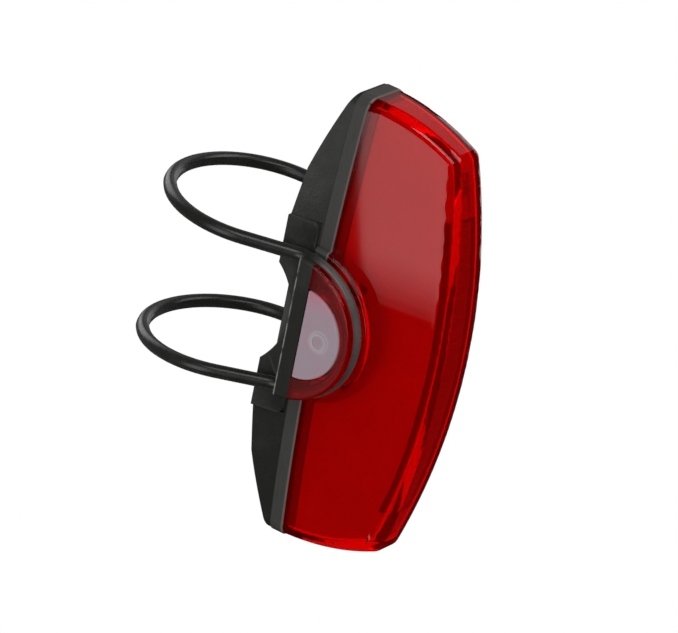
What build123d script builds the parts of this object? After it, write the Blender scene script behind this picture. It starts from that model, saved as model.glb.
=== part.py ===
from build123d import *
from math import acos, atan2, cos, degrees, hypot, pi, radians, sin, sqrt, tan
import os

os.makedirs("parts", exist_ok=True)

# Rear light with a round mount. The origin is on the mount's axis at the light's mid height, +Z runs up
# along that axis, the light shines towards -Y, and the power button is on the -X ear.
# "Forward" below is the distance in front of the mount's axis.

# Round mount and the fit on it
post_radius = 13.6
post_clearance = 0.4          # hard housing to the mount's circle
overrun = 5.0                 # how far cutting shapes run past what they cut
fit_gap = 0.2                 # between parts that slot into each other

# Case outline, seen from the front
case_half_length = 37.9
seam_half_width = 7.2         # on the parting line at mid height
end_narrowing = 2.4           # how much narrower the two ends are
side_draft = 5.2              # degrees that each side facet leans in
facet_rounding = 2.4

# Case outline, seen from the side
saddle_thickness = 1.6
floor_wall = 1.4              # housing between saddle and battery bay
floor_depth = 2.2             # battery bay below the parting line
lens_depth = 21.6             # parting line to the foremost point
front_bow = 5.0               # how far the front curve falls back to its corners
corner_drop = 3.9             # how far the end curve falls from the ends to the corners
corner_rounding = 2.0
lens_wall = 1.6
lens_inner_rounding = 0.8

# Ears, round hooks on both sides for the strap
tab_thickness = 2.6           # the housing's share of each ear
ear_reach = 4.5               # outer face beyond the parting line's half width
ear_cap_radius = 11.9
ear_cap_thickness = 1.4
ear_cap_rounding = 0.35
ear_lip_step = 1.0            # lip beyond the cap
ear_lip_thickness = 0.9
ear_lip_rounding = 0.7
ear_base_step = 3.8           # flared base beyond the lip
ear_base_sink = 1.5           # base's start, inside the parting line's half width
ear_wall = 0.8                # between strap groove and the hollow behind the ear

# Rubber strap ring
strap_radius = 1.1
strap_proud = 0.3             # strap's outer side beyond the cap
strap_groove_gap = 0.05       # groove radius over the strap's
strap_squeeze = 0.15          # how far the strap is flattened on its inner side
strap_slope = 3               # degrees that the strands spread apart towards the back
strap_bend_radius = 6.0       # where a strand leaves the ear

# Housing
rim_width = 2.4               # rim that follows the parting line
rim_step = 0.2                # how far the rim stands out from the lens
rim_bevel = 0.35
back_wrap = 4.6               # how far the sides reach round the mount
back_end_wall = 0.6           # end of the curved back, short of the rim's back
back_flare = 2.8              # how much wider the back is than the rim, at mid height
back_end_flare = 1.2
tongue_height = 1.2           # lip that the lens slips over
tongue_wall = 0.8

# Saddle, rubber pad on the back of the housing
saddle_half_height = 16.5
saddle_rim_gap = 0.4
saddle_step = 0.4             # front of each flank beyond the parting line's half width
saddle_flare = 1.3            # tip of each flank beyond its front
saddle_flank_wall = 1.1
saddle_tip_flat = 0.6         # blunt end of each flank, short of where it would meet the mount's circle
saddle_arch_radius = 12.0
saddle_arch_rise = 0.6        # crown of each flank's arch in front of the mount
saddle_rounding = 1.2

# Seal in the parting line
seal_inset = 0.5
seal_width = 0.8
seal_depth = 0.6

# Windows in the ears' faces
window_rim = 4.2              # cap round the window
window_depth = 1.4
pocket_step = 0.6             # hollow behind the ear, beyond the window

# Power button
button_travel = 0.5
button_pad_thickness = 1.0
button_proud = 0.25           # pad above the ear's face
button_neck_step = 2.4        # neck inside the window's radius
button_flange_step = 1.6      # flange inside the pocket's radius
button_flange_thickness = 0.8
button_flange_gap = 0.3       # flange to the wall that holds it
button_rounding = 0.3
button_ring_radius = 1.4
button_ring_width = 0.35
button_ring_height = 0.15

# Cover over the charging socket
cover_thickness = 1.1
cover_proud = 0.2
cover_plug_depth = 0.4        # how far the plug enters the socket's mouth
cover_swing_gap = 0.6         # plug to the mouth, across its height
cover_side_gap = 0.5

# Circuit board
board_thickness = 1.0
board_end_gap = 1.5           # board's ends to the lens
board_edge_gap = 0.35
board_rounding = 1.0
board_side_gap = 0.6          # side tongue to the pocket's wall
boss_end = 1.8                # screw bosses, in from the board's ends
boss_radius = 1.4
screw_radius = 0.6
screw_head_radius = 1.15
screw_head_height = 0.7
screw_length = 3.6
screw_slot = 0.35
screw_gap = 0.05

# Charging socket
socket_width = 7.4
socket_thickness = 2.6
socket_depth = 5.2
socket_wall = 0.3
socket_mouth_step = 0.1       # mouth above the window's floor
socket_rounding = 0.7
socket_groove_gap = 1.4       # socket's corners to the root of the strap groove
socket_tongue_width = 4.0
socket_tongue_thickness = 0.6
socket_tongue_setback = 0.9

# Push switch
plunger_reach = 0.8           # plunger outside the switch's body
plunger_radius = 0.75
plunger_guide = 0.7           # plunger inside the body
plunger_gap = 0.1
switch_depth = 1.8
switch_width = 4.6
switch_thickness = 2.6

# Battery
cell_thickness = 3.5
cell_gap = 0.1                # cell to the bay's walls
cell_end_gap = 9.6            # cell's ends to the screw bosses
cell_rounding = 1.0
cell_tab_width = 1.4
cell_tab_thickness = 0.25
cell_tab_side = 1.6
cell_tab_start = 1.2          # where a tab leaves the cell, in front of its back
cell_tab_foot = 1.8
foam_inset = 0.6              # foam inside the cell's outline
foam_end = 1.5
foam_gap = 0.4                # foam to the board's parts

# Lights on the board
led_size = 2.0
led_height = 0.8
led_count = 5
status_led_gap = 2.5          # status light to the switch
status_led_length = 1.6
status_led_width = 0.8
status_led_thickness = 0.7
chip_gap = 2.4                # chip and coil to the socket
chip_length = 3.0
chip_width = 4.2
chip_thickness = 0.9
coil_radius = 1.5
coil_thickness = 1.6
capacitor_length = 1.6
capacitor_width = 0.8
capacitor_pitch = 2.0
capacitor_count = 4

# Optics behind the lens
frame_gap = 0.3               # frame to the lens
frame_wall = 1.1
frame_skirt_wall = 0.5        # thin shell that lines the lens, from the housing's tongue forward
frame_end_gap = 0.25          # frame to the heads of the screws
frame_low_gap = 1.25
frame_web = 0.8
led_gap = 0.4                 # reflector cup round each light
bezel_thickness = 0.6
bezel_end = 0.5               # dark bezel above and below the lit window
light_end = 4.2               # lower end of the lit window, in from the frame's end
diffuser_thickness = 1.3
diffuser_gap = 0.05
spot_panel_end = 0.8          # panel round the spot, in from the frame's end
spot_panel_length = 6.4
spot_panel_depth = 0.5        # below the frame's front
spot_panel_bar = 1.2          # frame between panel and lit window
spot_panel_inset = 2.8        # spot in from the panel's end
spot_lens_radius = 1.5
spot_lens_dome = 0.5
spot_lens_thickness = 1.2

front_view = Plane.XZ
side_view = Plane(origin=(0, 0, 0), x_dir=(0, -1, 0), z_dir=(-1, 0, 0))

# Levels in front of the mount's axis
core_radius = post_radius + saddle_thickness
floor_forward = core_radius + floor_wall
seam_forward = floor_forward + floor_depth
rim_forward = seam_forward - rim_width
ear_forward = seam_forward - tab_thickness
back_forward = post_radius - back_wrap
saddle_front = rim_forward - saddle_rim_gap
front_forward = seam_forward + lens_depth
corner_forward = front_forward - front_bow
cell_front = floor_forward + cell_thickness

# Levels from the middle plane to a side
barrel_radius = (case_half_length**2 + end_narrowing**2) / (2 * end_narrowing)
end_half_width = seam_half_width - end_narrowing
ear_face = seam_half_width + ear_reach
ear_base_side = seam_half_width - ear_base_sink
groove_radius = strap_radius + strap_groove_gap
groove_side = ear_face - ear_cap_thickness - groove_radius
window_floor = ear_face - window_depth
pocket_side = groove_side - groove_radius - ear_wall
saddle_front_half_width = seam_half_width + saddle_step
saddle_tip_half_width = saddle_front_half_width + saddle_flare
saddle_core_half_width = saddle_front_half_width - saddle_flank_wall
flange_top = pocket_side - button_flange_gap
flange_bottom = flange_top - button_flange_thickness
switch_side = flange_bottom - plunger_reach
board_ear_side = pocket_side - fit_gap

# Radii of the ears
ear_lip_radius = ear_cap_radius + ear_lip_step
ear_base_radius = ear_lip_radius + ear_base_step
ring_radius = ear_cap_radius + strap_proud - strap_radius
groove_root = ring_radius - groove_radius
window_radius = ear_cap_radius - window_rim
pocket_radius = window_radius + pocket_step

# Levels of the board, whose socket stands inside the strap groove
board_back = ear_forward + sqrt((groove_root - socket_groove_gap) ** 2 - (socket_width / 2) ** 2)
board_front = board_back + board_thickness
part_forward = board_back - socket_thickness / 2

# Heights, up and down from the middle
half_reach = case_half_length + overrun
corner_height = case_half_length - corner_drop
board_half_length = case_half_length - lens_wall - board_end_gap
boss_height = board_half_length - boss_end
cell_half_length = boss_height - boss_radius - cell_end_gap
frame_top = boss_height - screw_head_radius - frame_end_gap
frame_bottom = screw_head_radius + frame_low_gap - boss_height
spot_panel_high = frame_top - spot_panel_end
spot_panel_low = spot_panel_high - spot_panel_length
spot_height = spot_panel_high - spot_panel_inset
light_top = spot_panel_low - spot_panel_bar
light_bottom = frame_bottom + light_end
led_pitch = (light_top - light_bottom) / led_count
chip_height = socket_width / 2 + chip_gap + chip_length / 2
foam_low = chip_height + max(chip_length / 2, coil_radius) + foam_gap
foam_high = cell_half_length - foam_end
status_led_height = switch_width / 2 + status_led_gap + status_led_length / 2
board_ear_half_width = sqrt(pocket_radius**2 - (board_front - seam_forward) ** 2) - board_side_gap

# Insets from the case outline
bay_inset = lens_wall + fit_gap + tongue_wall
frame_inset = lens_wall + frame_gap
light_inset = frame_inset + frame_wall
skirt_inset = frame_inset + frame_skirt_wall


# Half width of the case outline at a height on the parting line
def outline_half_width(height, inset):
    return seam_half_width - inset - barrel_radius + sqrt(barrel_radius**2 - height**2)


# Half width of the lens's form at a height and a distance in front of the mount's axis
def form_half_width(height, forward, inset):
    return outline_half_width(height, inset) - (forward - seam_forward) * tan(radians(side_draft))


# Barrel outline seen from the front, at a distance in front of the mount's axis
def barrel_outline(forward, half_length, middle, end, rounding=0.0):
    with BuildSketch(front_view.offset(forward)) as outline:
        with BuildLine():
            ThreePointArc((end, -half_length), (middle, 0), (end, half_length))
            Line((end, half_length), (-end, half_length))
            ThreePointArc((-end, half_length), (-middle, 0), (-end, -half_length))
            Line((-end, -half_length), (end, -half_length))
        make_face()
        if rounding > 0:
            fillet(outline.vertices(), rounding)
    return outline.sketch


# Outline of the case, drawn in by an inset
def case_outline(forward, half_length, inset, rounding=0.0):
    end = outline_half_width(half_length, inset)
    return barrel_outline(forward, half_length, seam_half_width - inset, end, rounding)


# Outline of the lens seen from the side, drawn in by an inset
def side_outline(inset):
    top = case_half_length - inset
    back = seam_forward - overrun
    corner = (corner_forward - inset, corner_height - inset)
    low_corner = (corner[0], -corner[1])
    with BuildSketch(side_view.offset(-ear_face)) as outline:
        with BuildLine():
            Line((back, top), (seam_forward, top))
            TangentArc((seam_forward, top), corner, tangent=(1, 0))
            ThreePointArc(corner, (front_forward - inset, 0), low_corner)
            TangentArc((seam_forward, -top), low_corner, tangent=(1, 0))
            Line((seam_forward, -top), (back, -top))
            Line((back, -top), (back, top))
        make_face()
        front_corners = outline.vertices().filter_by(lambda v: v.X > seam_forward + overrun)
        fillet(front_corners, max(corner_rounding - inset, facet_rounding / 2))
    return outline.sketch


# Solid of the lens's form: the side outline crossed with the drafted front outline
def lens_form(side_inset, front_inset, back):
    back_inset = side_inset + (back - seam_forward) * tan(radians(side_draft))
    with BuildPart() as form:
        outline = case_outline(back, half_reach, back_inset)
        extrude(outline, amount=front_forward + overrun - back, taper=side_draft)
        extrude(side_outline(front_inset), amount=2 * ear_face, mode=Mode.INTERSECT)
    return form.part


# Everything in front of the lens's front curve drawn in by an inset, between two heights
def front_cut(front_inset, low, high):
    cut = block(board_front, front_forward + overrun, ear_face, low, high)
    with BuildPart() as behind:
        extrude(side_outline(front_inset), amount=2 * ear_face)
    return cut - behind.part


# Spool shape of both ears: cap, strap groove, lip and flared base
def ear_spool():
    lip_side = groove_side - groove_radius
    cap_side = groove_side + groove_radius
    flare_side = lip_side - ear_lip_thickness
    ear_plane = Plane(origin=(0, -ear_forward, 0), x_dir=(-1, 0, 0), z_dir=(0, 1, 0))
    with BuildPart() as spool:
        with BuildSketch(ear_plane) as section:
            with BuildLine():
                Line((0, 0), (0, ear_base_radius))
                Line((0, ear_base_radius), (ear_base_side, ear_base_radius))
                TangentArc((ear_base_side, ear_base_radius), (flare_side, ear_lip_radius), tangent=(0, -1))
                Line((flare_side, ear_lip_radius), (lip_side, ear_lip_radius))
                Line((lip_side, ear_lip_radius), (lip_side, ring_radius))
                ThreePointArc((lip_side, ring_radius), (groove_side, groove_root), (cap_side, ring_radius))
                Line((cap_side, ring_radius), (cap_side, ear_cap_radius))
                Line((cap_side, ear_cap_radius), (ear_face, ear_cap_radius))
                Line((ear_face, ear_cap_radius), (ear_face, 0))
                Line((ear_face, 0), (0, 0))
            make_face()
            cap_corners = section.vertices().filter_by(lambda v: abs(v.Y - ear_cap_radius) < fit_gap)
            fillet(cap_corners, ear_cap_rounding)
            lip_corners = section.vertices().filter_by(lambda v: abs(v.Y - ear_lip_radius) < fit_gap)
            fillet(lip_corners.sort_by(Axis.X)[-1], ear_lip_rounding)
        revolve(axis=Axis((0, -ear_forward, 0), (1, 0, 0)), revolution_arc=180)
        mirror(about=Plane.YZ)
    return spool.part


# Block between two levels in front of the mount's axis and two heights
def block(low_forward, high_forward, half_width, low, high):
    with BuildPart() as slab:
        with BuildSketch(front_view.offset(low_forward)):
            with Locations((0, (low + high) / 2)):
                Rectangle(2 * half_width, high - low)
        extrude(amount=high_forward - low_forward)
    return slab.part


# Block that stands on a side level, seen from the side: centre forward and up, size forward and up
def side_block(near, far, forward, height, depth, length, rounding=0.0):
    with BuildPart() as slab:
        with BuildSketch(side_view.offset(near)):
            with Locations((forward, height)):
                if rounding > 0:
                    RectangleRounded(depth, length, rounding)
                else:
                    Rectangle(depth, length)
        extrude(amount=far - near)
    return slab.part


# Upright cylinder round the mount's axis
def post_cylinder(radius, half_height):
    with BuildPart() as cylinder:
        Cylinder(radius, 2 * half_height)
    return cylinder.part


# Half disc in an ear, its flat side on the parting line, from one side level to another
def ear_window(radius, near, far, gap=0.0):
    with BuildPart() as window:
        with BuildSketch(side_view.offset(near)) as face:
            with Locations((seam_forward, 0)):
                Circle(radius)
            with Locations((seam_forward + gap + radius, 0)):
                Rectangle(2 * radius, 2 * radius, mode=Mode.INTERSECT)
            if gap > 0:
                fillet(face.vertices().group_by(Axis.X)[0], button_rounding)
        extrude(amount=far - near)
    return window.part


# Ring that follows the case outline between two insets
def outline_ring(forward, inset, width, depth):
    with BuildPart() as ring:
        extrude(case_outline(forward, case_half_length - inset, inset), amount=depth)
        inner = inset + width
        extrude(case_outline(forward, case_half_length - inner, inner), amount=depth, mode=Mode.SUBTRACT)
    return ring.part


# Writes a finished piece under its name
def keep(piece, name):
    piece.label = name
    export_step(piece, f"parts/{name}.step")


# Hollow of the lens
with BuildPart() as lens_cavity:
    add(lens_form(lens_wall, lens_wall, seam_forward))
    long_edges = lens_cavity.edges().filter_by(lambda e: e.length > case_half_length)
    fillet(long_edges.filter_by(lambda e: e.center().Y < -(seam_forward + overrun)), lens_inner_rounding)

# Lens, one moulding with the caps of both ears
with BuildPart() as outer_lens:
    add(lens_form(0, 0, seam_forward))
    outer_edges = outer_lens.edges().filter_by(lambda e: e.center().Y < -(seam_forward + fit_gap))
    fillet(outer_edges.filter_by(lambda e: abs(e.center().X) > fit_gap), facet_rounding)
    add(ear_spool() & block(seam_forward, front_forward, 2 * ear_face, -half_reach, half_reach))
    add(lens_cavity.part, mode=Mode.SUBTRACT)
    add(ear_window(pocket_radius, pocket_side, -pocket_side), mode=Mode.SUBTRACT)
    for side in (1, -1):
        add(ear_window(window_radius, side * window_floor, side * (ear_face + overrun)), mode=Mode.SUBTRACT)
    neck_hole_radius = window_radius - button_neck_step + 2 * fit_gap
    add(ear_window(neck_hole_radius, 0, ear_face), mode=Mode.SUBTRACT)
    socket_slot = side_block(
        0, -ear_face, part_forward, 0, socket_thickness + fit_gap, socket_width + fit_gap,
        socket_rounding + fit_gap / 2,
    )
    add(socket_slot, mode=Mode.SUBTRACT)
keep(outer_lens.part, "outer_lens")

# What lies in front of the housing's curved back, seen from the side
flank_width = 2 * ear_face
def back_curve():
    end = rim_forward - back_end_wall
    with BuildSketch(side_view.offset(-flank_width)) as profile:
        with BuildLine():
            ThreePointArc((end, case_half_length), (back_forward, 0), (end, -case_half_length))
            Line((end, -case_half_length), (seam_forward, -case_half_length))
            Line((seam_forward, -case_half_length), (seam_forward, case_half_length))
            Line((seam_forward, case_half_length), (end, case_half_length))
        make_face()
    return profile.sketch


# Rear housing: rim, flared sides, ear tabs, lens tongue and screw bosses
back_half_width = seam_half_width + back_flare
back_end_half_width = end_half_width + back_end_flare
with BuildPart() as rear_housing:
    sections = Sketch() + [
        case_outline(rim_forward, case_half_length, 0, facet_rounding),
        barrel_outline(back_forward, case_half_length, back_half_width, back_end_half_width,
                       facet_rounding),
    ]
    loft(sections.faces(), ruled=True)
    extrude(back_curve(), amount=2 * flank_width, mode=Mode.INTERSECT)
    for side in (1, -1):
        near = side * saddle_core_half_width
        add(
            side_block(near, near + side * flank_width, saddle_front - overrun, 0, 2 * overrun,
                       2 * saddle_half_height),
            mode=Mode.SUBTRACT,
        )
    rim = case_outline(rim_forward, case_half_length + rim_step, -rim_step, facet_rounding + rim_step)
    extrude(rim, amount=seam_forward - rim_forward)
    chamfer(rear_housing.faces().sort_by(Axis.Y)[0].outer_wire().edges(), rim_bevel)
    add(ear_spool() & block(ear_forward, seam_forward, 2 * ear_face, -half_reach, half_reach))
    add(post_cylinder(post_radius + post_clearance, half_reach), mode=Mode.SUBTRACT)
    add(post_cylinder(core_radius, saddle_half_height), mode=Mode.SUBTRACT)
    bay = case_outline(floor_forward, case_half_length - bay_inset, bay_inset)
    extrude(bay, amount=seam_forward - floor_forward, mode=Mode.SUBTRACT)
    add(outline_ring(seam_forward, lens_wall + fit_gap, tongue_wall, tongue_height))
    add(
        block(seam_forward, seam_forward + overrun, 2 * ear_face, -pocket_radius - fit_gap,
              pocket_radius + fit_gap),
        mode=Mode.SUBTRACT,
    )
    with BuildSketch(front_view.offset(floor_forward)):
        with Locations((0, boss_height), (0, -boss_height)):
            Circle(boss_radius)
    extrude(amount=board_back - floor_forward)
    with BuildSketch(front_view.offset(floor_forward)):
        with Locations((0, boss_height), (0, -boss_height)):
            Circle(screw_radius + screw_gap)
    extrude(amount=board_back - floor_forward, mode=Mode.SUBTRACT)
    add(outline_ring(seam_forward - seal_depth, seal_inset, seal_width, seal_depth), mode=Mode.SUBTRACT)
keep(rear_housing.part, "rear_housing")

# Seal between lens and housing
with BuildPart() as lens_seal:
    add(outline_ring(seam_forward - seal_depth, seal_inset, seal_width, seal_depth))
keep(lens_seal.part, "lens_seal")

# Rubber saddle, hollowed to the mount's circle and cut by an arch on each flank
saddle_tip_forward = sqrt(post_radius**2 - saddle_tip_half_width**2) + saddle_tip_flat
with BuildPart() as saddle_pad:
    with BuildSketch(Plane.XY.offset(-saddle_half_height)):
        with BuildLine():
            Polyline(
                (saddle_front_half_width, -saddle_front),
                (saddle_tip_half_width, -saddle_tip_forward),
                (-saddle_tip_half_width, -saddle_tip_forward),
                (-saddle_front_half_width, -saddle_front),
                close=True,
            )
        make_face()
    extrude(amount=2 * saddle_half_height)
    front_edges = saddle_pad.edges().filter_by(Axis.X).group_by(Axis.Y)[0]
    fillet(front_edges, saddle_rounding)
    core = block(0, saddle_front + overrun, saddle_core_half_width, -half_reach, half_reach)
    add(core - post_cylinder(core_radius, 2 * half_reach), mode=Mode.SUBTRACT)
    add(post_cylinder(post_radius, half_reach), mode=Mode.SUBTRACT)
    for side in (1, -1):
        with BuildSketch(side_view.offset(side * saddle_core_half_width)):
            with Locations((post_radius + saddle_arch_rise - saddle_arch_radius, 0)):
                Circle(saddle_arch_radius)
        extrude(amount=side * flank_width, mode=Mode.SUBTRACT)
keep(saddle_pad.part, "saddle_pad")

# Strap: one rubber ring over both ears, its two strands round the back of the mount
spread = radians(strap_slope)
start_forward = ear_forward + ring_radius * sin(spread)
start_height = ring_radius * cos(spread)
strap_post_radius = post_radius + strap_radius - strap_squeeze
strap_exit = (start_forward - ear_forward) / cos(spread)
post_distance = start_forward / cos(spread)
reach = hypot(groove_side + strap_bend_radius, post_distance - strap_exit)
bend = atan2(post_distance - strap_exit, groove_side + strap_bend_radius)
bend -= acos((strap_post_radius + strap_bend_radius) / reach)
bend_side = groove_side + strap_bend_radius * (1 - cos(bend))
bend_distance = strap_exit + strap_bend_radius * sin(bend)
half_bend_side = groove_side + strap_bend_radius * (1 - cos(bend / 2))
half_bend_distance = strap_exit + strap_bend_radius * sin(bend / 2)
touch_side = strap_post_radius * cos(bend)
touch_distance = post_distance - strap_post_radius * sin(bend)
strand_plane = Plane(
    origin=(0, -start_forward, start_height), x_dir=(-1, 0, 0), z_dir=(0, sin(spread), -cos(spread))
)
with BuildLine(strand_plane) as strand:
    for side in (1, -1):
        Line((side * groove_side, 0), (side * groove_side, strap_exit))
        ThreePointArc(
            (side * groove_side, strap_exit),
            (side * half_bend_side, half_bend_distance),
            (side * bend_side, bend_distance),
        )
        Line((side * bend_side, bend_distance), (side * touch_side, touch_distance))
    ThreePointArc(
        (touch_side, touch_distance),
        (0, post_distance + strap_post_radius),
        (-touch_side, touch_distance),
    )
with BuildLine() as strap_path:
    add(strand.line)
    mirror(strand.line, about=Plane.XY)
    for side in (1, -1):
        ThreePointArc(
            (side * groove_side, -start_forward, start_height),
            (side * groove_side, -ear_forward - ring_radius, 0),
            (side * groove_side, -start_forward, -start_height),
        )
strap_wire = strap_path.wires()[0]
with BuildPart() as strap_ring:
    with BuildSketch(Plane(origin=strap_wire @ 0, z_dir=strap_wire % 0)):
        Circle(strap_radius)
    sweep(path=strap_wire)
    add(post_cylinder(post_radius, half_reach), mode=Mode.SUBTRACT)
keep(strap_ring.part, "strap_ring")

# Power button, a silicone pad with a neck through the ear and a flange behind it
pad_top = ear_face + button_proud
pad_bottom = pad_top - button_pad_thickness
button_neck_radius = window_radius - button_neck_step
with BuildPart() as power_button:
    add(ear_window(window_radius - fit_gap, pad_bottom, pad_top, fit_gap))
    fillet(power_button.faces().sort_by(Axis.X)[0].edges(), button_rounding)
    add(ear_window(button_neck_radius, flange_bottom, pad_bottom, fit_gap))
    add(ear_window(pocket_radius - button_flange_step, flange_bottom, flange_top, fit_gap))
    with BuildSketch(side_view.offset(pad_top)):
        with Locations((part_forward, 0)):
            Circle(button_ring_radius)
            Circle(button_ring_radius - button_ring_width, mode=Mode.SUBTRACT)
    extrude(amount=button_ring_height)
keep(power_button.part, "power_button")

# Cover of the charging socket, a matching pad that hinges at its flat side
cover_top = ear_face + cover_proud
cover_bottom = cover_top - cover_thickness
socket_mouth = window_floor + socket_mouth_step
cover_plug_height = socket_thickness - 2 * socket_wall - 2 * cover_swing_gap
cover_plug_width = socket_width - 2 * socket_wall - 2 * cover_side_gap
with BuildPart() as usb_cover:
    add(ear_window(window_radius - fit_gap, -cover_bottom, -cover_top, fit_gap))
    fillet(usb_cover.faces().sort_by(Axis.X)[-1].edges(), button_rounding)
    add(side_block(cover_plug_depth - socket_mouth, -cover_bottom, part_forward, 0, cover_plug_height,
                   cover_plug_width))
keep(usb_cover.part, "usb_cover")

# Charging socket: metal shell and the tongue that carries its contacts
with BuildPart() as usb_shell:
    socket_back = socket_mouth - socket_depth
    add(side_block(-socket_back, -socket_mouth, part_forward, 0, socket_thickness, socket_width,
                   socket_rounding))
    inner_thickness = socket_thickness - 2 * socket_wall
    add(
        side_block(-socket_back - socket_wall, -socket_mouth, part_forward, 0, inner_thickness,
                   socket_width - 2 * socket_wall, socket_rounding - socket_wall),
        mode=Mode.SUBTRACT,
    )
keep(usb_shell.part, "usb_shell")

with BuildPart() as usb_tongue:
    tongue_forward = board_back - socket_wall - fit_gap - socket_tongue_thickness / 2
    add(side_block(-socket_back - socket_wall, socket_tongue_setback - socket_mouth, tongue_forward, 0,
                   socket_tongue_thickness, socket_tongue_width))
keep(usb_tongue.part, "usb_tongue")

# Main board with a side tongue under the socket
board_inset = skirt_inset + board_edge_gap + (board_front - seam_forward) * tan(radians(side_draft))
with BuildPart() as main_board:
    board_outline = case_outline(board_back, board_half_length, board_inset, board_rounding)
    extrude(board_outline, amount=board_thickness)
    add(side_block(0, -board_ear_side, board_back + board_thickness / 2, 0, board_thickness,
                   2 * board_ear_half_width))
    with BuildSketch(front_view.offset(board_back)):
        with Locations((0, boss_height), (0, -boss_height)):
            Circle(screw_radius + screw_gap)
    extrude(amount=board_thickness, mode=Mode.SUBTRACT)
keep(main_board.part, "main_board")

# Screws that hold the board on the bosses
with BuildPart() as board_screws:
    with BuildSketch(front_view.offset(board_front)):
        with Locations((0, boss_height), (0, -boss_height)):
            Circle(screw_head_radius)
    extrude(amount=screw_head_height)
    with BuildSketch(front_view.offset(board_front - screw_length)):
        with Locations((0, boss_height), (0, -boss_height)):
            Circle(screw_radius)
    extrude(amount=screw_length)
    with BuildSketch(front_view.offset(board_front + screw_head_height - screw_slot)):
        with Locations((0, boss_height), (0, -boss_height)):
            Rectangle(2 * screw_head_radius, screw_slot)
    extrude(amount=screw_slot, mode=Mode.SUBTRACT)
keep(board_screws.part, "board_screws")

# Push switch that the button presses
with BuildPart() as switch_body:
    add(side_block(switch_side - switch_depth, switch_side, part_forward, 0, switch_thickness,
                   switch_width))
    bore_depth = plunger_guide + button_travel + 2 * plunger_gap
    with BuildSketch(side_view.offset(switch_side - bore_depth)):
        with Locations((part_forward, 0)):
            Circle(plunger_radius + plunger_gap)
    extrude(amount=bore_depth, mode=Mode.SUBTRACT)
keep(switch_body.part, "switch_body")

with BuildPart() as switch_plunger:
    with BuildSketch(side_view.offset(switch_side - plunger_guide)):
        with Locations((part_forward, 0)):
            Circle(plunger_radius)
    extrude(amount=flange_bottom - switch_side + plunger_guide)
keep(switch_plunger.part, "switch_plunger")

# Battery, its foam blocks and its two metal tabs
cell_half_width = outline_half_width(cell_half_length, bay_inset) - cell_gap
with BuildPart() as battery_cell:
    add(block(floor_forward, cell_front, cell_half_width, -cell_half_length, cell_half_length))
    fillet(battery_cell.edges().filter_by(Axis.Z), cell_rounding)
keep(battery_cell.part, "battery_cell")

with BuildPart() as battery_foam:
    for side in (1, -1):
        low, high = sorted((side * foam_low, side * foam_high))
        add(block(cell_front, board_back, cell_half_width - foam_inset, low, high))
keep(battery_foam.part, "battery_foam")

with BuildPart() as battery_tabs:
    tab_start = floor_forward + cell_tab_start
    tab_end = cell_half_length + cell_tab_thickness
    foot_end = tab_end + cell_tab_foot
    for side in (1, -1):
        near = side * cell_tab_side
        far = near + side * cell_tab_width
        with BuildSketch(side_view.offset(near)):
            with BuildLine():
                Polyline(
                    (tab_start, cell_half_length),
                    (tab_start, tab_end),
                    (board_back - cell_tab_thickness, tab_end),
                    (board_back - cell_tab_thickness, foot_end),
                    (board_back, foot_end),
                    (board_back, cell_half_length),
                    close=True,
                )
            make_face()
        extrude(amount=far - near)
keep(battery_tabs.part, "battery_tabs")

# Lights on the board's front
led_heights = [light_bottom + (n + 1 / 2) * led_pitch for n in range(led_count)]
with BuildPart() as main_leds:
    for height in led_heights:
        add(block(board_front, board_front + led_height, led_size / 2, height - led_size / 2,
                  height + led_size / 2))
keep(main_leds.part, "main_leds")

with BuildPart() as spot_led:
    add(block(board_front, board_front + led_height, led_size / 2, spot_height - led_size / 2,
              spot_height + led_size / 2))
keep(spot_led.part, "spot_led")

# Small parts on the board's back
with BuildPart() as status_led:
    led_side = switch_side - status_led_width
    add(side_block(led_side - status_led_width, led_side, board_back - status_led_thickness / 2,
                   status_led_height, status_led_thickness, status_led_length))
keep(status_led.part, "status_led")

with BuildPart() as control_chip:
    add(block(board_back - chip_thickness, board_back, chip_width / 2, -chip_height - chip_length / 2,
              -chip_height + chip_length / 2))
keep(control_chip.part, "control_chip")

with BuildPart() as power_coil:
    with BuildSketch(front_view.offset(board_back - coil_thickness)):
        with Locations((0, chip_height)):
            Circle(coil_radius)
    extrude(amount=coil_thickness)
keep(power_coil.part, "power_coil")

with BuildPart() as board_capacitors:
    for n in range(capacitor_count):
        height = (n - (capacitor_count - 1) / 2) * capacitor_pitch
        add(block(board_back - capacitor_width, board_back, capacitor_length / 2,
                  height - capacitor_width / 2, height + capacitor_width / 2))
keep(board_capacitors.part, "board_capacitors")

# One end of a reflector cup
def cup_outline(forward, height, half_width, half_length):
    with BuildSketch(front_view.offset(forward)) as outline:
        with Locations((0, height)):
            Rectangle(2 * half_width, 2 * half_length)
    return outline.sketch


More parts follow.
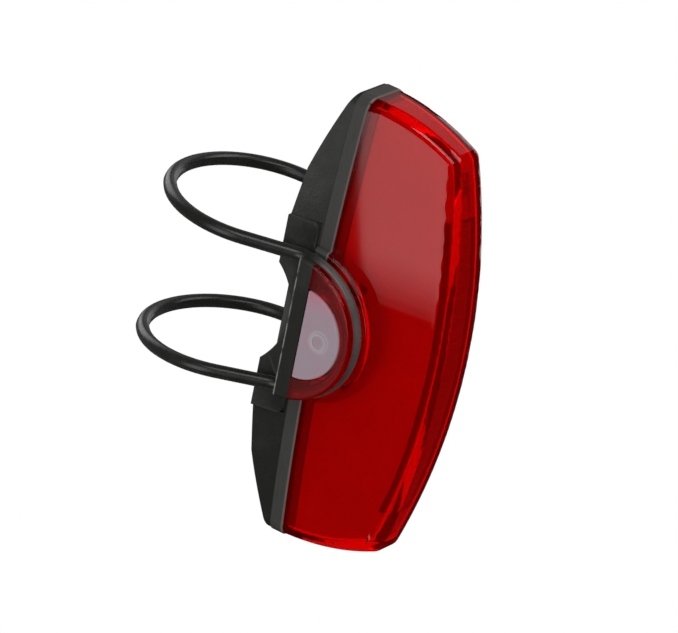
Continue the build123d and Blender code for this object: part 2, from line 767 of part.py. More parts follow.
# Reflector frame: a cup in front of each light, a seat for the diffuser and a panel round the spot
cup_back = led_size / 2 + led_gap
skirt_back = seam_forward + tongue_height + fit_gap
frame_form = lens_form(frame_inset, frame_inset, skirt_back)
with BuildPart() as reflector_frame:
    add(frame_form & block(board_front, front_forward, ear_face, frame_bottom, frame_top))
    skirt_gap = pocket_radius + fit_gap
    skirt_cut = block(skirt_back, board_front, ear_face, -skirt_gap, skirt_gap)
    add(frame_form - lens_form(skirt_inset, skirt_inset, skirt_back) - skirt_cut)
    light_form = lens_form(light_inset, 0, board_front)
    seat_depth = frame_inset + diffuser_thickness
    add(light_form & front_cut(seat_depth, light_bottom, light_top), mode=Mode.SUBTRACT)
    for height in led_heights:
        forward = front_forward - frame_inset - diffuser_thickness
        half_width = form_half_width(abs(height) + led_pitch / 2, forward, light_inset)
        cup = Sketch() + [
            cup_outline(board_front, height, cup_back, cup_back),
            cup_outline(forward, height, half_width, (led_pitch - frame_web) / 2),
        ]
        loft(cup.faces(), ruled=True, mode=Mode.SUBTRACT)
    panel_cut = front_cut(frame_inset + spot_panel_depth, spot_panel_low, spot_panel_high)
    add(light_form & panel_cut, mode=Mode.SUBTRACT)
    with BuildSketch(front_view.offset(board_front)):
        with Locations((0, spot_height)):
            Circle(spot_lens_radius)
    extrude(amount=front_forward - board_front, mode=Mode.SUBTRACT)
    bezel_cut = front_cut(frame_inset + bezel_thickness, light_bottom - bezel_end, light_top + bezel_end)
    add(bezel_cut, mode=Mode.SUBTRACT)
keep(reflector_frame.part, "reflector_frame")

# Dark bezel round the lit window, let into the frame's front
with BuildPart() as window_bezel:
    add(frame_form & bezel_cut)
    light_block = block(board_front, front_forward, ear_face, light_bottom, light_top)
    add(light_form & light_block, mode=Mode.SUBTRACT)
keep(window_bezel.part, "window_bezel")

with BuildPart() as diffuser_bar:
    bar_form = lens_form(light_inset + diffuser_gap, frame_inset, board_front)
    add(bar_form & front_cut(seat_depth, light_bottom + diffuser_gap, light_top - diffuser_gap))
keep(diffuser_bar.part, "diffuser_bar")

# Small round lens over the spot light
spot_drop = front_bow * (spot_height / corner_height) ** 2
spot_forward = front_forward - frame_inset - spot_drop - spot_lens_dome
with BuildPart() as spot_lens:
    with BuildSketch(front_view.offset(spot_forward - spot_lens_thickness)):
        with Locations((0, spot_height)):
            Circle(spot_lens_radius - diffuser_gap)
    extrude(amount=spot_lens_thickness)
    fillet(spot_lens.faces().sort_by(Axis.Y)[0].edges(), spot_lens_dome)
keep(spot_lens.part, "spot_lens")
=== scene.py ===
# Bike rear light: looks, camera and lighting for the CAD model
from math import acos, atan2, cos, degrees, hypot, pi, radians, sin

import bpy
from mathutils import Matrix, Vector
from mathutils.kdtree import KDTree


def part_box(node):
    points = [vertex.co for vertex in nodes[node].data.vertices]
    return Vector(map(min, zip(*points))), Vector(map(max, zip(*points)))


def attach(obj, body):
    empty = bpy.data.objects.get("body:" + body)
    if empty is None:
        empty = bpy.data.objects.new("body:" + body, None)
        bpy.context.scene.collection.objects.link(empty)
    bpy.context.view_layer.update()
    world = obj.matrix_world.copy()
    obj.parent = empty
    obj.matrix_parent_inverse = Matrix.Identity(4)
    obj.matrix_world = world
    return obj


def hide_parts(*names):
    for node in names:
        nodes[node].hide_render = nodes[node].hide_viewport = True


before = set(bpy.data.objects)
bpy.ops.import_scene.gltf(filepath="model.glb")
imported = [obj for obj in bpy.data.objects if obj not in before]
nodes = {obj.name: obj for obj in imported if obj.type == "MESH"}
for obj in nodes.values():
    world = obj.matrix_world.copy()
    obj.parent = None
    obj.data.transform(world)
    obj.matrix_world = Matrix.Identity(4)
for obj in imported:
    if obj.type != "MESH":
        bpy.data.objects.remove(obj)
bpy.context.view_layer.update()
print("frame loaded,", len(nodes), "nodes")


view = {
    "elevation": 23.83,
    "azimuth": 31.74,
    "roll": 11.22,
    "distance": 1.035,
    "aimRight": 0.01446,
    "aimUp": -0.00735,
    "lens": 348.4,
}


def addCamera(v):
    e, a, r = (radians(v[k]) for k in ("elevation", "azimuth", "roll"))
    toCamera = Vector((-cos(a) * cos(e), -sin(a) * cos(e), sin(e)))
    flatRight = Vector((sin(a), -cos(a), 0))
    flatUp = Vector((cos(a) * sin(e), sin(a) * sin(e), cos(e)))
    right = flatRight * cos(r) + flatUp * sin(r)
    up = flatUp * cos(r) - flatRight * sin(r)
    place = toCamera * v["distance"]
    aim = right * v["aimRight"] + up * v["aimUp"]
    back = (place - aim).normalized()
    side = up.cross(back).normalized()
    camera = bpy.data.cameras.new("camera")
    camera.lens = v["lens"]
    camera.sensor_width = 36
    camera.clip_start = 0.05
    camera.clip_end = 20
    holder = bpy.data.objects.new("camera", camera)
    turn = Matrix((side, back.cross(side), back)).transposed().to_4x4()
    holder.matrix_world = Matrix.Translation(place) @ turn
    bpy.context.collection.objects.link(holder)
    bpy.context.scene.camera = holder


addCamera(view)
bpy.context.scene.view_settings.view_transform = "Standard"
print("camera placed")


class Wire:
    # one output socket; the operators add Math nodes
    def __init__(self, finish, socket):
        self.finish = finish
        self.socket = socket

    def math(self, operation, a, b):
        return self.finish.add("Math", {"operation": operation}, {0: a, 1: b})

    def __add__(self, other):
        return self.math("ADD", self, other)

    __radd__ = __add__

    def __sub__(self, other):
        return self.math("SUBTRACT", self, other)

    def __rsub__(self, other):
        return self.math("SUBTRACT", other, self)

    def __mul__(self, other):
        return self.math("MULTIPLY", self, other)

    __rmul__ = __mul__


class Finish:
    # a Principled material; constants go straight on the shader's own sockets
    def __init__(self, name, constants):
        self.material = bpy.data.materials.new(name)
        self.material.use_nodes = True
        self.tree = self.material.node_tree
        self.shader = self.tree.nodes["Principled BSDF"]
        for socket, value in constants.items():
            self.shader.inputs[socket].default_value = value
        self.place = self.add("TexCoord", out="Object")

    def add(self, kind, settings=None, inputs=None, out=0):
        node = self.tree.nodes.new("ShaderNode" + kind)
        for key, value in (settings or {}).items():
            setattr(node, key, value)
        for key, value in (inputs or {}).items():
            if isinstance(value, Wire):
                self.tree.links.new(value.socket, node.inputs[key])
            else:
                node.inputs[key].default_value = value
        return Wire(self, node.outputs[out])

    def feed(self, socket, wire):
        self.tree.links.new(wire.socket, self.shader.inputs[socket])

    def noise(self, scale, detail=2.0, roughness=0.5, place=None):
        inputs = {"Vector": place or self.place, "Scale": scale}
        return self.add("TexNoise", None, {**inputs, "Detail": detail, "Roughness": roughness})

    def stretched(self, scales):
        return self.add("Mapping", None, {"Vector": self.place, "Scale": scales})

    def axis(self, name):
        return self.add("SeparateXYZ", None, {0: self.place}, out=name)

    def size(self, wire):
        return self.add("Math", {"operation": "ABSOLUTE"}, {0: wire})

    def step(self, wire, low, high):
        # 0 below low, 1 above high, smooth between them
        settings = {"interpolation_type": "SMOOTHSTEP"}
        return self.add("MapRange", settings, {"Value": wire, "From Min": low, "From Max": high})

    def blend(self, mask, a, b):
        tones = {}
        for key, tone in ((6, a), (7, b)):
            tones[key] = tone if isinstance(tone, Wire) else (*tone, 1)
        return self.add("Mix", {"data_type": "RGBA"}, {0: mask, **tones}, out=2)

    def bump(self, height, distance, strength=1.0):
        inputs = {"Height": height, "Distance": distance, "Strength": strength}
        self.feed("Normal", self.add("Bump", None, inputs))


def dress(finish, *names):
    for name in names:
        mesh = nodes[name].data
        mesh.materials.clear()
        mesh.materials.append(finish.material)


lens = {
    "tint": (0.80, 0.0, 0.0),
    "deepTint": (0.72, 0.0, 0.0),
    "clouds": 70,
    "scratches": (900, 2600, 240),
    "handling": 45,
    "polish": 0.03,
    "scuff": 0.02,
}


def lensFinish(v):
    f = Finish("clearRed", {"IOR": 1.49, "Transmission Weight": 0.9, "Specular IOR Level": 0.4})
    cloud = f.noise(v["clouds"], 3)
    f.feed("Base Color", f.blend(cloud, v["tint"], v["deepTint"]))
    scratches = f.step(f.noise(1, 3, 0.6, f.stretched(v["scratches"])), 0.62, 0.78)
    handled = f.step(f.noise(v["handling"], 4, 0.65), 0.42, 0.7)
    f.feed("Roughness", v["polish"] + scratches * handled * v["scuff"])
    return f


lensRed = lensFinish(lens)
dress(lensRed, "outer_lens")

housing = {
    "tone": (0.017, 0.018, 0.015),
    "worn": (0.030, 0.032, 0.027),
    "rim": (0.055, 0.054, 0.050),
    # painted highlight colour for the rim's front edge and the tab edges
    "paintedLight": (0.22, 0.23, 0.21),
    "lipBack": 0.0185,
    "rimBack": 0.0164,
    "rimSide": 0.0080,
    "tabBack": 0.0162,
    "tabSide": 0.0114,
    "streaks": (1500, 1500, 120),
    "grain": 2600,
    "roughness": 0.34,
}


def housingFinish(v):
    f = Finish("satinBlack" if "rim" in v else "darkMoulding", {"Specular IOR Level": 0.5})
    pebbles = f.add("TexVoronoi", None, {"Vector": f.place, "Scale": v["grain"]}, out="Distance")
    cloud = f.noise(90, 4, 0.6)
    rubbed = f.step(cloud, 0.5, 0.75)
    tone = f.blend(rubbed, v["tone"], v["worn"])
    if "rim" in v:
        # the rim at the lens is paler, in streaks; painted highlights lie along its front edge and
        # along the back edges of the tabs
        forward = f.axis("Y") * -1
        side = f.size(f.axis("X"))
        rim = f.step(forward, v["rimBack"] - 0.0001, v["rimBack"] + 0.0002)
        rim = rim * (1 - f.step(side, v["rimSide"], v["rimSide"] + 0.0002))
        streaks = f.noise(1, 3, 0.6, f.stretched(v["streaks"]))
        tone = f.blend(rim * (0.5 + streaks), tone, v["rim"])
        # painted highlight line along the rim's front edge by the lens
        lipHighlight = f.step(forward, v["lipBack"] - 0.0001, v["lipBack"] + 0.0001) * rim
        tone = f.blend(lipHighlight * 0.5, tone, v["paintedLight"])
        # painted highlight along the back edges of the tabs, broken up by noise
        tab = f.step(side, v["tabSide"], v["tabSide"] + 0.0001)
        paintedLight = tab * (1 - f.step(forward, v["tabBack"] + 0.00012, v["tabBack"] + 0.0003))
        tone = f.blend(paintedLight * f.step(f.noise(500, 3), 0.3, 0.6), tone, v["paintedLight"])
    f.feed("Base Color", tone)
    f.feed("Roughness", v["roughness"] + f.noise(800, 2) * 0.12 - rubbed * 0.1)
    f.bump(pebbles, 0.00003, 0.5)
    return f


housingBlack = housingFinish(housing)
dress(housingBlack, "rear_housing")

softRubber = {
    "tone": (0.022, 0.022, 0.020),
    "bloom": (0.040, 0.040, 0.037),
    "roughness": 0.36,
    "gloss": 0.4,
    "skin": 0.6,
}
bandRubber = {
    "tone": (0.010, 0.010, 0.009),
    "bloom": (0.020, 0.020, 0.019),
    # painted highlight colour for the band in the ears' grooves
    "stretched": (0.120, 0.115, 0.108),
    "earSide": (0.0084, 0.0090),
    "earFront": (0.0165, 0.0200),
    # the painted highlight fades out towards the bottom of the ears
    "earFade": (-0.008, 0.004),
    "roughness": 0.22,
    "gloss": 0.7,
    "skin": 0.12,
}


def rubberFinish(name, v):
    sheen = {"Sheen Weight": 0.1, "Sheen Roughness": 0.5}
    f = Finish(name, {**sheen, "Specular IOR Level": v["gloss"]})
    dust = f.step(f.noise(130, 5, 0.7), 0.4, 0.75)
    tone = f.blend(dust, v["tone"], v["bloom"])
    if "stretched" in v:
        # painted highlight: the band is painted grey where it lies in the ears' grooves, strongest
        # at the top and fading lower down
        paintedHighlight = f.step(f.size(f.axis("X")), *v["earSide"])
        paintedHighlight = paintedHighlight * f.step(f.axis("Y") * -1, *v["earFront"])
        paintedHighlight = paintedHighlight * (0.25 + f.step(f.axis("Z"), *v["earFade"]) * 0.75)
        tone = f.blend(paintedHighlight * (0.5 + f.noise(400, 3) * 0.5), tone, v["stretched"])
    f.feed("Base Color", tone)
    f.feed("Roughness", v["roughness"] + f.noise(1100, 2) * 0.15)
    f.bump(f.noise(3000, 3, 0.6), 0.00005, v["skin"])
    return f


saddleRubber = rubberFinish("saddleRubber", softRubber)
strapRubber = rubberFinish("strapRubber", bandRubber)
dress(saddleRubber, "saddle_pad")
dress(strapRubber, "strap_ring", "lens_seal")

pad = {
    "tone": (0.33, 0.31, 0.35),
    # pink for the painted red light from the lens at the top of the pad
    "paintedLight": (0.50, 0.20, 0.27),
    "mark": (0.52, 0.52, 0.55),
    "markPlace": (-0.0119, -0.0226, 0),
    "markRadius": 0.0014,
    "glow": (0.0030, 0.0078),
    "roughness": 0.38,
}


def siliconeFinish(v):
    # painted red light from the lens on the top of the pad; clouds tint it towards the same pink
    f = Finish("milkySilicone", {"Subsurface Weight": 0.25, "Subsurface Scale": 0.002, "IOR": 1.42})
    glow = f.step(f.axis("Z"), *v["glow"])
    cloud = f.noise(260, 3)
    tone = f.blend(cloud * 0.5 + glow * 0.6, v["tone"], v["paintedLight"])
    ends = {0: f.place, 1: v["markPlace"]}
    away = f.add("VectorMath", {"operation": "DISTANCE"}, ends, out="Value")
    mark = f.step(away, v["markRadius"] - 0.0009, v["markRadius"])
    mark = mark - f.step(away, v["markRadius"], v["markRadius"] + 0.0008)
    f.feed("Base Color", f.blend(mark * 0.45, tone, v["mark"]))
    f.feed("Roughness", v["roughness"] + f.noise(900, 3) * 0.15)
    f.bump(f.noise(1800, 2), 0.00003, 0.4)
    return f


milkySilicone = siliconeFinish(pad)
dress(milkySilicone, "power_button", "usb_cover")

metal = {"tone": (0.70, 0.69, 0.66), "tarnish": (0.52, 0.48, 0.42)}


def platedFinish(v):
    f = Finish("platedSteel", {"Metallic": 1.0})
    tarnish = f.step(f.noise(700, 4, 0.6), 0.45, 0.75)
    f.feed("Base Color", f.blend(tarnish, v["tone"], v["tarnish"]))
    brushed = f.noise(1, 3, 0.6, f.stretched((600, 600, 9000)))
    f.feed("Roughness", 0.22 + brushed * 0.18)
    f.bump(brushed, 0.00001, 0.4)
    return f


platedSteel = platedFinish(metal)
dress(platedSteel, "usb_shell", "board_screws", "battery_tabs")

moulded = {"tone": (0.02, 0.02, 0.022), "worn": (0.05, 0.05, 0.05), "grain": 6000, "roughness": 0.4}
darkPlastic = housingFinish(moulded)
dress(darkPlastic, "window_bezel", "usb_tongue", "switch_body", "switch_plunger")
dress(darkPlastic, "control_chip", "power_coil")

board = {
    "mask": (0.012, 0.10, 0.045),
    "track": (0.03, 0.19, 0.08),
    "pitch": 900,
}


def boardFinish(v):
    f = Finish("greenBoard", {"Coat Weight": 0.4, "Coat Roughness": 0.2})
    settings = {"feature": "F1", "distance": "CHEBYCHEV"}
    cells = f.add("TexVoronoi", settings, {"Vector": f.place, "Scale": v["pitch"]}, out="Distance")
    tracks = f.step(cells, 0.42, 0.5)
    f.feed("Base Color", f.blend(tracks, v["mask"], v["track"]))
    f.feed("Roughness", 0.35 + f.noise(1200, 2) * 0.15)
    f.bump(tracks, 0.00004, 0.5)
    return f


greenBoard = boardFinish(board)
dress(greenBoard, "main_board")


def foilFinish():
    f = Finish("foilPouch", {"Metallic": 0.9})
    crinkle = f.noise(420, 5, 0.7)
    f.feed("Base Color", f.blend(crinkle, (0.62, 0.63, 0.65), (0.40, 0.41, 0.44)))
    f.feed("Roughness", 0.28 + crinkle * 0.2)
    f.bump(crinkle, 0.0002, 0.5)
    return f


dress(foilFinish(), "battery_cell")


def foamFinish():
    f = Finish("darkFoam", {"Sheen Weight": 0.2})
    cells = f.add("TexVoronoi", None, {"Vector": f.place, "Scale": 2200}, out="Distance")
    f.feed("Base Color", f.blend(cells, (0.03, 0.03, 0.03), (0.12, 0.12, 0.12)))
    f.feed("Roughness", 0.8 + cells * 0.2)
    f.bump(cells, 0.0002, 0.8)
    return f


dress(foamFinish(), "battery_foam")


def chipFinish():
    f = Finish("lightChip", {"Coat Weight": 0.5, "Coat Roughness": 0.1})
    grains = f.noise(3500, 3, 0.7)
    f.feed("Base Color", f.blend(grains, (0.80, 0.62, 0.10), (0.92, 0.80, 0.30)))
    f.feed("Roughness", 0.3 + grains * 0.2)
    return f


dress(chipFinish(), "main_leds", "spot_led", "status_led")


def ceramicFinish():
    f = Finish("tanCeramic", {})
    ends = f.step(f.noise(1500, 3), 0.4, 0.7)
    f.feed("Base Color", f.blend(ends, (0.50, 0.37, 0.22), (0.60, 0.48, 0.33)))
    f.feed("Roughness", 0.4 + ends * 0.2)
    return f


dress(ceramicFinish(), "board_capacitors")

carrier = {"tone": (0.80, 0.78, 0.76), "shade": (0.66, 0.60, 0.58)}


def carrierFinish(v):
    f = Finish("whiteCarrier", {"IOR": 1.5})
    cloud = f.noise(140, 4, 0.6)
    f.feed("Base Color", f.blend(cloud, v["tone"], v["shade"]))
    f.feed("Roughness", 0.3 + cloud * 0.2)
    f.bump(f.noise(2500, 2), 0.00002, 0.4)
    return f


dress(carrierFinish(carrier), "reflector_frame")


ribPitch = 0.0012


def diffuserFinish(name, tone, weight):
    f = Finish(name, {"Transmission Weight": weight, "IOR": 1.49})
    f.feed("Base Color", f.blend(f.noise(120, 2), tone, tuple(0.85 * c for c in tone)))
    ribs = f.add("Math", {"operation": "SINE"}, {0: f.axis("Z") * (2 * pi / ribPitch)})
    f.feed("Roughness", 0.25 + f.noise(900, 2) * 0.15)
    f.bump(ribs, 0.0002, 0.6)
    return f


dress(diffuserFinish("frostedRed", (0.75, 0.06, 0.05), 0.5), "diffuser_bar")
dress(diffuserFinish("clearSpot", (0.90, 0.90, 0.90), 0.8), "spot_lens")
print("materials made")


def addPanel(name, place, size, level, target=(0, 0, 0), along=(0, 0, 1)):
    # a soft lamp of the given radiance, turned to a target, its height laid along a direction
    lamp = bpy.data.lights.new(name, "AREA")
    lamp.shape = "RECTANGLE"
    lamp.size, lamp.size_y = size
    lamp.energy = level * pi * size[0] * size[1]
    holder = bpy.data.objects.new(name, lamp)
    back = (Vector(place) - Vector(target)).normalized()
    side = Vector(along).cross(back).normalized()
    turn = Matrix((side, back.cross(side), back)).transposed().to_4x4()
    holder.matrix_world = Matrix.Translation(place) @ turn
    bpy.context.collection.objects.link(holder)


studio = {
    "floorHeight": -0.30,
    "floorSize": 6.0,
    "paper": (0.86, 0.86, 0.86),
    "paperShade": (0.83, 0.83, 0.83),
    "worldLevel": 0.5,
    "backdrop": 1.0,
}
backdropRays = ("Is Camera Ray", "Is Glossy Ray", "Is Transmission Ray")


def paleFloor(v):
    # the camera sees plain white; everything else sees paper
    bpy.ops.object.select_all(action="DESELECT")
    bpy.ops.mesh.primitive_plane_add(size=v["floorSize"], location=(0, 0, v["floorHeight"]))
    floor = bpy.context.object
    floor.name = "floor"
    f = Finish("floorPaper", {"Roughness": 0.9})
    f.feed("Base Color", f.blend(f.noise(6, 2), v["paper"], v["paperShade"]))
    seen, *others = (f.add("LightPath", out=key) for key in backdropRays)
    for ray in others:
        seen = seen.math("MAXIMUM", seen, ray)
    glow = f.add("Emission", None, {"Color": (1, 1, 1, 1), "Strength": v["backdrop"]})
    shader = Wire(f, f.shader.outputs[0])
    mixed = f.add("MixShader", None, {0: seen, 1: shader, 2: glow})
    f.tree.links.new(mixed.socket, f.tree.nodes["Material Output"].inputs["Surface"])
    floor.data.materials.append(f.material)
    floor.visible_glossy = False


def softWorld(v):
    world = bpy.data.worlds.new("studio")
    bpy.context.scene.world = world
    world.use_nodes = True
    tree = world.node_tree
    path = tree.nodes.new("ShaderNodeLightPath")
    seen = path.outputs[backdropRays[0]]
    for key in backdropRays[1:]:
        widest = tree.nodes.new("ShaderNodeMath")
        widest.operation = "MAXIMUM"
        tree.links.new(seen, widest.inputs[0])
        tree.links.new(path.outputs[key], widest.inputs[1])
        seen = widest.outputs[0]
    level = tree.nodes.new("ShaderNodeMapRange")
    level.inputs["To Min"].default_value = v["worldLevel"]
    level.inputs["To Max"].default_value = v["backdrop"]
    tree.links.new(seen, level.inputs["Value"])
    tree.links.new(level.outputs[0], tree.nodes["Background"].inputs["Strength"])
    tree.nodes["Background"].inputs["Color"].default_value = (1, 1, 1, 1)


tent = {
    "radius": 1.6,
    "tone": (0.02, 0.02, 0.02, 1),
}


def darkTent(v):
    # a black tent that only the gloss sees, so that the red stays deep
    bpy.ops.object.select_all(action="DESELECT")
    bpy.ops.mesh.primitive_uv_sphere_add(segments=48, ring_count=24, radius=v["radius"])
    cloth = bpy.context.object
    cloth.name = "tent"
    bpy.ops.object.shade_smooth()
    f = Finish("blackCloth", {"Base Color": v["tone"], "Roughness": 1.0, "Specular IOR Level": 0.0})
    cloth.data.materials.append(f.material)
    for ray in ("camera", "diffuse", "transmission", "shadow", "volume_scatter"):
        setattr(cloth, "visible_" + ray, False)


def clearSelection():
    if bpy.context.object and bpy.context.object.mode != "OBJECT":
        bpy.ops.object.mode_set(mode="OBJECT")
    bpy.ops.object.select_all(action="DESELECT")


def pick(piece):
    clearSelection()
    piece.select_set(True)
    bpy.context.view_layer.objects.active = piece


def bake(piece, kind, **settings):
    # adds a modifier and applies it
    pick(piece)
    step = piece.modifiers.new(kind.lower(), kind)
    for key, value in settings.items():
        setattr(step, key, value)
    bpy.ops.object.modifier_apply(modifier=step.name)


def settle(piece, name, finish, body, slot, *replaced):
    # puts the piece's place into its mesh, names it, dresses it and hands it to its body
    pick(piece)
    bpy.ops.object.transform_apply(location=True, rotation=True, scale=True)
    piece.name = name
    piece.data.name = name
    piece.data.materials.clear()
    piece.data.materials.append(finish.material)
    bpy.ops.object.shade_smooth_by_angle(angle=radians(35))
    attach(piece, body)
    if replaced:
        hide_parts(*replaced)


def copyNode(name):
    # a merged copy of a CAD piece
    piece = nodes[name].copy()
    piece.data = nodes[name].data.copy()
    bpy.context.collection.objects.link(piece)
    pick(piece)
    bpy.ops.object.mode_set(mode="EDIT")
    bpy.ops.mesh.select_all(action="SELECT")
    bpy.ops.mesh.remove_doubles(threshold=0.000001)
    bpy.ops.object.mode_set(mode="OBJECT")
    return piece


shell = {
    "draft": 5.2,
    "sideRadius": 0.2994,
    "flatness": 0.98,
    "draftSlack": 0.012,
}


def makeLens(v):
    # the long sides curve evenly, so their shading follows the curve and not the mesh's facets
    plain = nodes["outer_lens"].data
    cover = copyNode("outer_lens")
    mesh = cover.data
    # the merge drops a few collapsed triangles, so each face looks up the one that it came from
    tree = KDTree(len(plain.polygons))
    for face in plain.polygons:
        tree.insert(face.center, face.index)
    tree.balance()
    places = [plain.vertices[loop.vertex_index].co for loop in plain.loops]
    corners = list(zip(places, (corner.vector for corner in plain.corner_normals)))
    draft = radians(v["draft"])
    shading = []
    for face in mesh.polygons:
        source = plain.polygons[tree.find(face.center)[1]]
        leanError = abs(abs(face.normal.y) - sin(draft))
        flat = abs(face.normal.x) > v["flatness"] and leanError < v["draftSlack"]
        outward = 1 if face.normal.y < 0 else -1
        for point in face.vertices:
            place = mesh.vertices[point].co
            if flat:
                rise = place.z / v["sideRadius"]
                side = cos(draft) * (1 if place.x > 0 else -1)
                curved = Vector((side * cos(rise), -sin(draft), abs(side) * sin(rise)))
                shading.append(outward * curved)
            else:
                options = (corners[k] for k in source.loop_indices)
                shading.append(min(options, key=lambda corner: (corner[0] - place).length)[1])
    mesh.normals_split_custom_set(shading)
    cover.name = mesh.name = "lensShell"
    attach(cover, "light")
    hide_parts("outer_lens")


makeLens(shell)
print("lens made")

strap = {
    "radius": 0.0011,
    "ridge": 0.00004,
    "ringRadius": 0.0111,
    "earForward": 0.0162,
    "grooveSide": 0.00915,
    "postRadius": 0.0136,
    "squeeze": 0.00015,
    "slope": 3,
    "bend": 0.006,
    "arcStep": 4,
    "sides": 28,
    "postSides": 160,
    "postLength": 0.06,
}


def arc(centre, radius, start, end, step):
    # points on a flat arc, angles in degrees, both ends included
    count = max(2, round(abs(end - start) / step))
    angles = (radians(start + (end - start) * n / count) for n in range(count + 1))
    return [(centre[0] + radius * cos(a), centre[1] + radius * sin(a)) for a in angles]


def strapRoute(v):
    # once round: over the button's ear, round the back, over the other ear and round the back below
    slope = radians(v["slope"])
    startForward = v["earForward"] + v["ringRadius"] * sin(slope)
    startHeight = v["ringRadius"] * cos(slope)
    exitRun = v["ringRadius"] * sin(slope) / cos(slope)
    postRun = startForward / cos(slope)
    wrap = v["postRadius"] + v["radius"] - v["squeeze"]
    side, bend = v["grooveSide"], v["bend"]
    across, along = side + bend, postRun - exitRun
    turnDegrees = degrees(atan2(along, across) - acos((wrap + bend) / hypot(across, along)))
    bendSteps = max(2, round(turnDegrees / v["arcStep"]))
    flat = [(side, 0)]
    flat += arc((side + bend, exitRun), bend, 180, 180 - turnDegrees, v["arcStep"])
    flat += arc((0, postRun), wrap, -turnDegrees, 180 + turnDegrees, v["arcStep"])
    flat += [(-x, run) for x, run in reversed(flat[1:2 + bendSteps])]
    flat += [(-side, 0)]
    upper = []
    for x, run in flat:
        upper.append(Vector((-x, run * cos(slope) - startForward, startHeight + run * sin(slope))))
    lower = [Vector((p.x, p.y, -p.z)) for p in reversed(upper)]
    first, last = 90 + v["slope"], 270 - v["slope"]
    ear = arc((-v["earForward"], 0), v["ringRadius"], first, last, v["arcStep"])
    down = [Vector((side, y, z)) for y, z in ear[1:-1]]
    up = [Vector((-side, y, z)) for y, z in reversed(ear[1:-1])]
    return upper + down + lower + up


def polyCurve(name, points):
    curve = bpy.data.curves.new(name, "CURVE")
    curve.dimensions = "3D"
    line = curve.splines.new("POLY")
    line.points.add(len(points) - 1)
    for point, place in zip(line.points, points):
        point.co = (*place, 1)
    line.use_cyclic_u = True
    holder = bpy.data.objects.new(name, curve)
    bpy.context.collection.objects.link(holder)
    return holder


def makeStrap(v):
    # moulded rubber ring with a fine parting ridge, pressed a little flat on its inner side
    section = []
    for n in range(v["sides"]):
        a = 2 * pi * n / v["sides"]
        r = v["radius"] + (v["ridge"] if n % (v["sides"] // 2) == 0 else 0)
        section.append((r * cos(a), r * sin(a), 0))
    profile = polyCurve("strapSection", section)
    ring = polyCurve("strap", strapRoute(v))
    ring.data.bevel_mode = "OBJECT"
    ring.data.bevel_object = profile
    pick(ring)
    bpy.ops.object.convert(target="MESH")
    ring = bpy.context.object
    bpy.ops.object.mode_set(mode="EDIT")
    bpy.ops.mesh.select_all(action="SELECT")
    bpy.ops.mesh.remove_doubles(threshold=0.000002)
    bpy.ops.mesh.normals_make_consistent(inside=False)
    bpy.ops.object.mode_set(mode="OBJECT")
    bpy.data.objects.remove(profile)
    clearSelection()
    form = {"vertices": v["postSides"], "radius": v["postRadius"], "depth": v["postLength"]}
    bpy.ops.mesh.primitive_cylinder_add(**form)
    post = bpy.context.object
    bake(ring, "BOOLEAN", operation="DIFFERENCE", solver="EXACT", object=post)
    bpy.data.objects.remove(post)
    settle(ring, "strap", strapRubber, "light", "strap_rubber", "strap_ring")


makeStrap(strap)
print("strap made")

grip = {
    "postRadius": 0.0136,
    "grooveDepth": 0.0003,
    "grooveWidth": 0.0007,
    "pitch": 0.0022,
    "count": 13,
    "spread": 44,
}


def makeSaddle(v):
    # rubber saddle with grip grooves round its hollow face
    saddle = copyNode("saddle_pad")
    clearSelection()
    low = -v["pitch"] * (v["count"] - 1) / 2
    bpy.ops.mesh.primitive_plane_add(size=1, location=(0, 0, low), rotation=(pi / 2, 0, 0))
    cutter = bpy.context.object
    cutter.scale = (2 * v["grooveDepth"], v["grooveWidth"], 1)
    bpy.ops.object.transform_apply(location=False, rotation=True, scale=True)
    cutter.location = (v["postRadius"], 0, low)
    bpy.ops.object.transform_apply(location=True)
    bpy.ops.object.mode_set(mode="EDIT")
    bpy.ops.mesh.select_all(action="SELECT")
    bpy.ops.mesh.spin(steps=40, angle=radians(v["spread"]), center=(0, 0, 0), axis=(0, 0, 1))
    bpy.ops.mesh.select_all(action="SELECT")
    bpy.ops.mesh.remove_doubles(threshold=0.000001)
    bpy.ops.mesh.normals_make_consistent(inside=False)
    bpy.ops.object.mode_set(mode="OBJECT")
    middle = sum((vertex.co for vertex in cutter.data.vertices), Vector())
    cutter.rotation_euler.z = -pi / 2 - atan2(middle.y, middle.x)
    bpy.ops.object.transform_apply(rotation=True)
    bake(cutter, "BEVEL", width=0.00015, segments=2, limit_method="ANGLE")
    bake(cutter, "ARRAY", count=v["count"], use_relative_offset=False, use_constant_offset=True,
         constant_offset_displace=(0, 0, v["pitch"]))
    bake(saddle, "BOOLEAN", operation="DIFFERENCE", solver="EXACT", object=cutter)
    bpy.data.objects.remove(cutter)
    settle(saddle, "saddle", saddleRubber, "light", "saddle_rubber", "saddle_pad")


makeSaddle(grip)
print("saddle made")

contacts = {
    "count": 5,
    "pitch": 0.00065,
    "width": 0.00035,
    "length": 0.0022,
    "thickness": 0.00006,
    "sink": 0.00001,
    "setback": 0.0004,
    "tone": (0.80, 0.56, 0.20),
    "tarnish": (0.55, 0.36, 0.14),
}


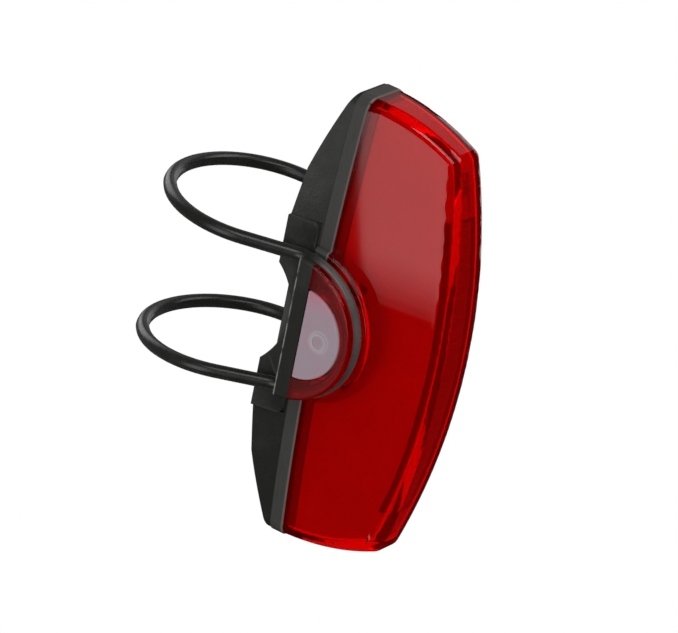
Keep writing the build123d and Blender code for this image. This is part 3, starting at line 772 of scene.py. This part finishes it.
def makeContacts(v):
    # gold strips along the socket's tongue, one shaped and repeated
    low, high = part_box("usb_tongue")
    gold = platedFinish({"tone": v["tone"], "tarnish": v["tarnish"]})
    gold.material.name = "goldPlating"
    clearSelection()
    first = -v["pitch"] * (v["count"] - 1) / 2
    middle = high[0] - v["setback"] - v["length"] / 2
    face = low[1] - v["thickness"] / 2 + v["sink"]
    bpy.ops.mesh.primitive_cube_add(size=1, location=(middle, face, first))
    strip = bpy.context.object
    strip.scale = (v["length"], v["thickness"], v["width"])
    bpy.ops.object.transform_apply(location=True, rotation=True, scale=True)
    bake(strip, "BEVEL", width=0.00002, segments=2)
    bake(strip, "ARRAY", count=v["count"], use_relative_offset=False, use_constant_offset=True,
         constant_offset_displace=(0, 0, v["pitch"]))
    settle(strip, "socketContacts", gold, "light", "plated_steel")


makeContacts(contacts)
print("contacts made")


sidePanel = {
    "place": (-0.5955, 0.0247, 0.063),
    "target": (0.330, -0.353, 0.063),
    "size": (0.30, 0.47),
    "level": 1.5,
    "fade": (1.25, 1.0, 0.75, 0.5, 0.25),
    "fadeTop": -0.176,
    "fadeStep": 0.008,
}


def addSidePanel(v):
    # a tall panel that fades out in strips at its lower edge
    addPanel("panelLeft", v["place"], v["size"], v["level"], v["target"])
    for strip, level in enumerate(v["fade"]):
        height = v["fadeTop"] - v["fadeStep"] * strip
        place, target = ((*v[key][:2], height) for key in ("place", "target"))
        addPanel("panelFade%d" % strip, place, (v["size"][0], v["fadeStep"]), level, target)


panels = {
    # place, size, level, target, direction of the height
    "panelCap": ((-0.53, 0.229, -0.235), (0.11, 0.11), 0.25, (-0.0117, -0.025, 0)),
    "panelKey": ((-0.52, -0.26, 0.68), (0.24, 0.75), 2.8, (0, 0, 0), (-0.08, -0.81, -0.58)),
    "panelTop": ((0.25, -0.46, 0.76), (0.45, 0.7), 1.9, (0, 0, 0), (0.1, -0.8, -0.6)),
    "panelRight": ((0.597, 0.021, 0.05), (0.30, 0.49), 1.0, (-0.330, -0.353, 0.05)),
    "panelBack": ((0.62, 0.17, 0.42), (0.22, 0.50), 0.35, (0, 0, 0), (0, -0.88, 0.42)),
    "panelRear": ((0.35, 0.90, 0.35), (0.7, 0.7), 1.6),
}

paleFloor(studio)
softWorld(studio)
darkTent(tent)
addSidePanel(sidePanel)
for name, settings in panels.items():
    addPanel(name, *settings)
print("studio made")
